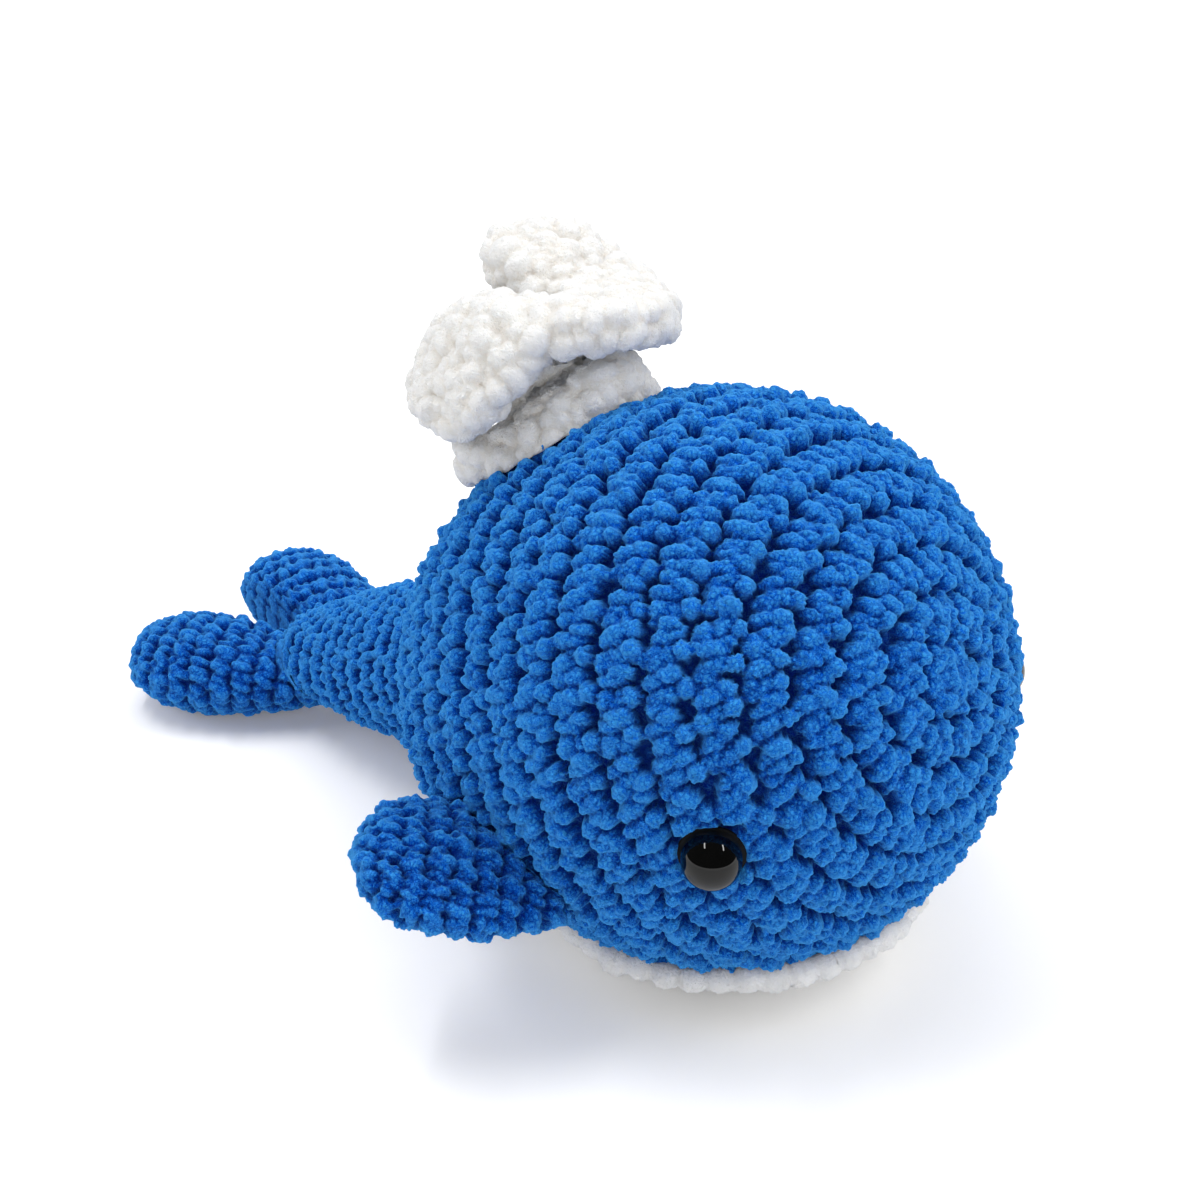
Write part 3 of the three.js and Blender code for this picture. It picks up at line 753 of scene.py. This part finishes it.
def chenille(mesh, legs, lift, lobe_size, lobe_height, seed, crease_depth=0.5 * mm, tone_and_light=0.5):
    """Turns an even smooth cloth into stitched chenille, and keeps for colour a depth that paints shade
    in sunk parts, hollows and creases, and a tone that paints crests lighter and hollows darker.
    """
    height, shade = raise_stitches(mesh, legs, crease_depth)
    move_points(mesh, smoothed(mesh, points_of(mesh), 1))
    points = points_of(mesh)
    large = lobes(points, lobe_size, seed) - 0.6
    small = lobes(points, lobe_size * 0.55, seed + 7) - 0.6
    lumps = large + 0.5 * small
    move_points(mesh, points + normals_of(mesh) * (lumps * lobe_height)[:, None])
    points = points_of(mesh)
    # Hollows and crests, sunk parts and creases between lumps, kept below for painted shade and painted
    # highlights
    hollow = ((smoothed(mesh, points, 16) - points) * normals_of(mesh)).sum(1) / (0.5 * mm)
    sunk = 1 - height / lift
    creased = 0.5 * (1 - smoothed(mesh, lumps, 1))
    # Depth: painted shade, darker where the cloth is sunk below its legs, lies in a hollow or sits in a
    # crease between lumps
    keep_value(mesh, "depth", np.clip(0.6 * sunk + 0.4 * hollow + 0.35 * creased - 0.2, 0, 1))
    # Tone: painted light and shade, lighter on crests and raised legs and darker where sunk or hollow,
    # together with each leg's shade and random tone
    keep_value(mesh, "tone_and_light", np.clip(tone_and_light - 0.4 * shade - 0.9 * sunk - 0.4 * hollow, 0, 1))
    mesh.polygons.foreach_set("use_smooth", np.ones(len(mesh.polygons), bool))
    mesh.update()


def eye_direction(side):
    return np.array([
        math.cos(eye_drop) * math.cos(eye_turn),
        side * math.cos(eye_drop) * math.sin(eye_turn),
        -math.sin(eye_drop),
    ])


def press_under_eye(points, direction):
    """Presses the yarn down under an eye's rim, and leaves it standing close round the rim."""
    height = (points - body_centre) @ direction
    away = np.linalg.norm(points - body_centre - np.outer(height, direction), axis=1)
    outside = np.maximum(away - eye_rim_diameter / 2 + 0.3 * mm, 0)
    ceiling = body_radius - eye_sink + 0.2 * mm + 2 * outside
    over = np.where(height > 0, np.maximum(height - ceiling, 0), 0)
    points -= np.outer(over, direction)


def make_body():
    def round_pitch(share):
        return np.interp(share, *round_pitch_shares) * body_round_pitch

    def stitch_pitch(share):
        return np.interp(share, *stitch_pitch_shares) * body_stitch_pitch

    def yarn_depth(station):
        return np.interp(station, *yarn_depths)

    def laid_depth(station):
        return 0.55 * yarn_depth(station)

    rng = random.Random(5)
    legs = Legs()
    stations = np.concatenate([
        np.linspace(-0.995, 0, 160, endpoint=False),
        np.linspace(0.001, spine_end, 500),
        spine_end + np.linspace(0.02, 0.95, 40),
    ])
    for spacing, places in lay_rounds(body_ring, stations, round_pitch, stitch_pitch, laid_depth):
        for place in places:
            legs.add_stitch(place, spacing, rng, loose=1.4)
    smooth = body_form(lambda station: -0.8 * yarn_depth(station), body_floor + 0.5 * mm)
    mesh = remeshed("crocheted_body", smooth, fine_voxel)
    stem = np.clip((-points_of(mesh)[:, 0] - stem_start) / stem_change, 0, 1)
    # Painted light on the stem: its tone is raised and its lift lowered, so the stem is painted lighter
    # and its creases less dark
    chenille(
        mesh, legs, lift=(2.3 - 0.8 * stem) * mm, lobe_size=2.0 * mm,
        lobe_height=(0.7 - 0.45 * stem) * mm, seed=3, tone_and_light=0.5 + 0.3 * stem,
    )
    points = points_of(mesh)
    for side in (-1, 1):
        press_under_eye(points, eye_direction(side))
    points[:, 2] = np.maximum(points[:, 2], body_floor)
    move_points(mesh, points)
    body = add_object("crocheted_body", mesh)
    mesh.materials.append(blue_chenille)
    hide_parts("body_cover", "body_filling")
    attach(body, "body")


def clear_of_body(points, room):
    """Moves points out of the body's form and the room above it."""
    for point in points:
        place, normal, _, _ = body_tree.find_nearest(point, seam_reach)
        if place is not None and (Vector(point) - place).dot(normal) < room:
            point[:] = place + normal * room
    return points


def make_limb(name, limb, spacing, loose, lobe_size, lobe_height, seed, keep=None):
    """A fin or a fluke in rounds of stitches; keep moves its points clear of its neighbour."""
    rng = random.Random(seed)
    legs = Legs()
    stations = np.linspace(0.02, limb.root_station, 200)
    rounds = lay_rounds(
        limb.ring, stations,
        round_pitch=lambda share: spacing,
        stitch_pitch=lambda share: spacing * 0.86,
        depth=lambda station: limb_yarn_depth / 2,
    )
    for pitch, places in rounds:
        for place in places:
            legs.add_stitch(place, pitch, rng, loose)
    mesh = remeshed("crocheted_" + name, limb_form(limb, -limb_yarn_depth), plain_voxel)
    chenille(mesh, legs, lift=limb_yarn_depth, lobe_size=lobe_size, lobe_height=lobe_height, seed=seed)
    points = clear_of_body(points_of(mesh), over_seam)
    points[:, 2] = np.maximum(points[:, 2], 0)
    if keep:
        points = keep(points)
    move_points(mesh, points)
    piece = add_object("crocheted_" + name, mesh)
    mesh.materials.append(blue_chenille)
    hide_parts(name + "_cover", name + "_filling")
    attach(piece, name)


def make_fin(name, side, seed):
    make_limb(
        name, fin_form(side), spacing=fin_stitch_pitch, loose=2.2,
        lobe_size=1.9 * mm, lobe_height=0.6 * mm, seed=seed,
    )


def make_fluke(name, side, turn, rise, seed):
    make_limb(
        name, fluke_form(side, turn, rise), spacing=fluke_stitch_pitch, loose=1.7,
        lobe_size=2.6 * mm, lobe_height=0.35 * mm, seed=seed, keep=beside_parting(side),
    )


def beside_parting(side):
    """Keeps a fluke on its own side of the upright parting, which opens away from the stem."""
    turn = (right_fluke_turn - left_fluke_turn) / 2 - side * fluke_parting
    across = np.array([-math.sin(turn), math.cos(turn), 0]) * side
    foot = np.array([fluke_root_depth - tail_reach, tail_sway, 0])
    press = 4 * mm

    def keep(points):
        inside = (points - foot) @ across
        pressed = press * np.exp(np.minimum(inside / press - 1, 0))
        return points + np.outer(np.where(inside < press, pressed - inside, 0), across)
    return keep


def add_puffs(legs, mesh, rng, pitch, smallest, largest):
    """Round puffs of yarn scattered over a cloth, one in each cell of a grid that the cloth crosses."""
    points, normals = points_of(mesh), normals_of(mesh)
    cells = np.floor(points / pitch).astype(int)
    order = list(range(len(points)))
    rng.shuffle(order)
    taken = set()
    for i in order:
        cell = tuple(cells[i])
        if cell in taken:
            continue
        taken.add(cell)
        size = rng.uniform(smallest, largest)
        along = unit(np.cross(normals[i], [rng.uniform(-1, 1) for _ in range(3)]))
        across = np.cross(normals[i], along)
        stretch = rng.uniform(0.8, 1.25)
        axes = (along * size * stretch, across * size / stretch, normals[i] * size)
        legs.add(points[i] - normals[i] * 0.35 * size, axes, rng.uniform(0, 0.4))


def make_spout():
    """The spout's strip round its core, covered with puffs of white yarn and sewn to the body."""
    form = lofted([spout_ring(share) for share in np.linspace(0, 1, 160)])
    core_height = spout_core_share * spout_drop
    core_middle = Vector((spout_line, 0, spout_floor + core_height / 2))
    bmesh.ops.create_cone(
        form, cap_ends=True, segments=24, radius1=spout_core_foot, radius2=spout_core_top,
        depth=core_height, matrix=Matrix.Translation(core_middle),
    )
    mesh = remeshed("crocheted_spout", form, plain_voxel)
    move_points(mesh, smoothed(mesh, points_of(mesh), 8))
    rng = random.Random(21)
    legs = Legs()
    add_puffs(legs, mesh, rng, pitch=4.4 * mm, smallest=2.4 * mm, largest=3.8 * mm)
    add_puffs(legs, mesh, rng, pitch=3.4 * mm, smallest=1.4 * mm, largest=2.3 * mm)
    chenille(
        mesh, legs, lift=white_yarn_depth, lobe_size=1.7 * mm, lobe_height=0.4 * mm, seed=9,
        crease_depth=white_crease_depth,
    )
    move_points(mesh, clear_of_body(points_of(mesh), over_seam))
    spout = add_object("crocheted_spout", mesh)
    mesh.materials.append(white_chenille)
    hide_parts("spout")
    off_body = unit(np.array([-math.sin(spout_seam_angle), 0, math.cos(spout_seam_angle)]))
    sewn, free = (body_centre + off_body * (body_radius + away) for away in (0, spout_stretch))
    tuple(sewn)
    tuple(free)
    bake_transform(spout)


def panel_rim(turn, tree):
    """The plan of a point of the belly panel's rim, on the body's underside."""
    ray = np.array([math.cos(turn) * panel_length / 2, math.sin(turn) * panel_width / 2])
    low, high = 0.0, 1.2
    for _ in range(18):
        reach = (low + high) / 2
        height = underside(tree, ray * reach)
        out = reach ** 2 + ((height - panel_rim_round) / (body_radius / 2)) ** 2
        low, high = (reach, high) if out < 1 else (low, reach)
    return ray * low


def underside(tree, plan):
    place = tree.ray_cast(Vector((plan[0], plan[1], -0.1)), Vector((0, 0, 1)))[0]
    return max(place.z, 0) if place is not None else body_radius


def make_panel():
    """The belly panel: rounds of white stitches, and a scalloped rim of puffs."""
    form = body_form(lambda station: panel_thickness + seam_gap - 1.0 * mm)
    face_tree = BVHTree.FromBMesh(form)
    form.free()
    turns = np.linspace(0, 2 * math.pi, 96, endpoint=False)
    rims = np.array([panel_rim(turn, face_tree) for turn in turns])

    def ring_at(share, ring_turns, grow=0.0):
        points = []
        for turn in ring_turns:
            spot = turn / (2 * math.pi) * len(turns)
            low, part = int(spot) % len(turns), spot - int(spot)
            plan = (rims[low] * (1 - part) + rims[(low + 1) % len(turns)] * part) * share
            points.append([plan[0], plan[1], underside(face_tree, plan)])
        return np.array(points)

    rng = random.Random(31)
    legs = Legs()
    stations = np.linspace(0.02, 1, 60)
    rounds = lay_rounds(
        ring_at, stations,
        round_pitch=lambda share: panel_round_pitch,
        stitch_pitch=lambda share: panel_stitch_pitch,
        depth=lambda station: 0,
    )
    for pitch, places in rounds:
        for point, along, onward, outward in places:
            down = outward if outward[2] < 0 else -outward
            legs.add_stitch((point + down * 0.3 * mm, along, onward, down), pitch, rng)
    rim = ring_at(1.0, np.linspace(0, 2 * math.pi, panel_rim_puffs, endpoint=False))
    for before, here, after in zip(np.roll(rim, 1, 0), rim, np.roll(rim, -1, 0)):
        along = unit(after - before)
        out = np.cross(along, up)
        middle = here + up * rng.uniform(1.0, 1.6) * mm + out * rng.uniform(0.5, 1.0) * mm
        swell = rng.uniform(0.9, 1.1) * mm
        axes = tuple(way * size * swell for way, size in zip((along, out, up), panel_rim_puff))
        legs.add(middle, axes, rng.uniform(-0.1, 0.2))
    core_turns = turns[::2]
    inner, outer = panel_core_shares
    under = [ring_at(share, core_turns) + up * panel_core_low for share in np.linspace(inner, outer, 24)]
    over = [ring_at(share, core_turns) + up * panel_core_high for share in np.linspace(outer, inner, 24)]
    mesh = remeshed("crocheted_panel", lofted(under + over), plain_voxel)
    chenille(
        mesh, legs, lift=white_yarn_depth, lobe_size=1.5 * mm, lobe_height=0.45 * mm, seed=17,
        crease_depth=white_crease_depth,
    )
    points = clear_of_body(points_of(mesh), 0.1 * mm)
    points[:, 2] = np.maximum(points[:, 2], 0)
    move_points(mesh, points)
    panel = add_object("crocheted_panel", mesh)
    mesh.materials.append(white_chenille)
    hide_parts("belly_panel")
    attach(panel, "body")


def make_eye(side_name, side):
    """A domed safety eye, spun round its axis, on the body's round."""
    direction = eye_direction(side)
    dome, rim = eye_diameter / 2, eye_rim_diameter / 2
    outline = [
        (dome * math.sin(turn), eye_rim_thickness + eye_wall[side_name] + eye_height * math.cos(turn))
        for turn in np.linspace(0, math.pi / 2, 18)
    ]
    outline += [
        (dome + 0.12 * mm, eye_rim_thickness * 0.8),
        (rim - 0.25 * mm, eye_rim_thickness * 0.7),
        (rim, eye_rim_thickness * 0.35),
        (rim - 0.3 * mm, 0),
        (0, 0),
    ]
    bm = bmesh.new()
    verts = [bm.verts.new((radius, 0, height)) for radius, height in outline]
    edges = [bm.edges.new(pair) for pair in zip(verts, verts[1:])]
    bmesh.ops.spin(bm, geom=verts + edges, cent=(0, 0, 0), axis=(0, 0, 1), angle=2 * math.pi,
                   steps=64, use_merge=True)
    bmesh.ops.remove_doubles(bm, verts=bm.verts, dist=0.001 * mm)
    bmesh.ops.recalc_face_normals(bm, faces=bm.faces)
    seat = Vector(body_centre + direction * (body_radius - eye_sink))
    turned = Vector(direction).to_track_quat("Z", "Y").to_matrix().to_4x4()
    turned.translation = seat
    bm.transform(turned)
    mesh = bpy.data.meshes.new(side_name + "_safety_eye")
    bm.to_mesh(mesh)
    bm.free()
    mesh.polygons.foreach_set("use_smooth", np.ones(len(mesh.polygons), bool))
    mesh.materials.append(black_gloss)
    far = np.linalg.norm(np.cross(points_of(mesh) - np.array(seat), direction), axis=1)
    keep_value(mesh, "rim", np.clip((far - dome) / (0.1 * mm), 0, 1))
    eye = add_object(side_name + "_safety_eye", mesh)
    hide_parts(side_name + "_eye")
    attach(eye, "body")
    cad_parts[side_name + "_eye_washer"].material_slots[0].material = washer_plastic


make_body()
form = body_form(floor=body_floor)
body_tree = BVHTree.FromBMesh(form)
form.free()
for side_name, side in (("right", -1), ("left", 1)):
    make_fin(side_name + "_fin", side, seed=40 + side)
    make_eye(side_name, side)
make_fluke("right_fluke", -1, right_fluke_turn, rise=0, seed=51)
make_fluke("left_fluke", 1, left_fluke_turn, left_fluke_rise, seed=52)
make_spout()
make_panel()


# Stage

def make_floor():
    bm = bmesh.new()
    bmesh.ops.create_grid(bm, x_segments=1, y_segments=1, size=6)
    mesh = bpy.data.meshes.new("floor")
    bm.to_mesh(mesh)
    bm.free()
    floor = add_object("floor", mesh)
    mesh.transform(Matrix.Translation((0, 0, -0.2 * mm)))
    material, tree, shader = new_material("white_floor")
    path = node(tree, "LightPath")
    shown = node(tree, "Math", {0: path.outputs["Is Camera Ray"], 1: path.outputs["Is Glossy Ray"]})
    place = node(tree, "TexCoord")
    away = node(tree, "VectorMath", {0: place.outputs["Object"]}, operation="LENGTH")
    white = node(tree, "MapRange", {
        "Value": away.outputs["Value"], "From Min": 0.35, "From Max": 0.9, "To Min": 0.12, "To Max": 1.0,
    }, interpolation_type="SMOOTHSTEP")
    glow = node(tree, "Math", {0: shown.outputs[0], 1: white.outputs[0]}, operation="MULTIPLY")
    tree.links.new(glow.outputs[0], shader.inputs["Emission Strength"])
    shader.inputs["Emission Color"].default_value = (1, 1, 1, 1)
    shader.inputs["Base Color"].default_value = (0.92, 0.92, 0.92, 1)
    shader.inputs["Roughness"].default_value = 0.7
    shader.inputs["Specular IOR Level"].default_value = 0.1
    clear = node(tree, "BsdfTransparent")
    facing = node(tree, "NewGeometry")
    mix = node(tree, "MixShader", {
        0: facing.outputs["Backfacing"], 1: shader.outputs[0], 2: clear.outputs[0],
    })
    tree.links.new(mix.outputs[0], tree.nodes["Material Output"].inputs["Surface"])
    mesh.materials.append(material)


# Each lamp: name, place in metres, way that its length lies, size in metres, power in watts, and
# whether polished surfaces show it
softboxes = (
    ("top softbox", (-0.45, 0.3, 1.5), (1, 0, 0), (1.6, 1.6), 15, False),
    ("front softbox", (0.75, -0.95, 0.5), (0, 0, 1), (1.4, 0.9), 6, False),
    ("left softbox", (-1.0, -0.9, 0.9), (0, 0, 1), (1.0, 1.0), 8, False),
    ("right softbox", (1.2, 0.6, 0.9), (0, 0, 1), (1.0, 1.0), 11, False),
    ("left strip", (-0.385, -0.21, 1.055), (0.41, -0.58, 0.05), (0.08, 0.7), 3.2, True),
    ("right strip", (0.485, 0.465, 0.95), (0.47, -0.31, -0.08), (0.08, 0.58), 2.8, True),
)


def add_softbox(name, place, along, size, power, in_gloss):
    """A soft lamp turned to the object."""
    lamp = bpy.data.lights.new(name, "AREA")
    lamp.shape = "RECTANGLE"
    lamp.size, lamp.size_y = size
    lamp.energy = power
    holder = bpy.data.objects.new(name, lamp)
    back = (Vector(place) - Vector((0, 0, 0.05))).normalized()
    across = Vector(along).cross(back).normalized()
    turned = Matrix((across, back.cross(across), back)).transposed().to_4x4()
    turned.translation = Vector(place)
    holder.matrix_world = turned
    holder.visible_glossy = in_gloss
    bpy.context.scene.collection.objects.link(holder)


def make_light():
    world = bpy.data.worlds.new("studio")
    bpy.context.scene.world = world
    world.use_nodes = True
    tree = world.node_tree
    background = tree.nodes["Background"]
    background.inputs["Color"].default_value = (1, 1, 1, 1)
    path = node(tree, "LightPath")
    plain = node(tree, "MapRange", {
        "Value": path.outputs["Is Glossy Ray"], "To Min": 0.22, "To Max": 0.08,
    })
    strength = node(tree, "Math", {
        0: path.outputs["Is Camera Ray"], 1: plain.outputs[0],
    }, operation="MAXIMUM")
    tree.links.new(strength.outputs[0], background.inputs["Strength"])
    for softbox in softboxes:
        add_softbox(*softbox)


def make_camera():
    lens = bpy.data.cameras.new("camera")
    lens.sensor_width = 36
    lens.lens = lens.sensor_width * pixels_per_focal_length / photo_width
    lens.clip_start = 0.01
    lens.clip_end = 50
    camera = bpy.data.objects.new("camera", lens)
    right = camera_ahead.cross(camera_up)
    turned = Matrix((right, camera_up, -camera_ahead)).transposed().to_4x4()
    turned.translation = camera_place
    camera.matrix_world = turned
    bpy.context.scene.collection.objects.link(camera)
    bpy.context.scene.camera = camera


make_floor()
make_light()
make_camera()
bpy.context.scene.view_settings.view_transform = "Standard"
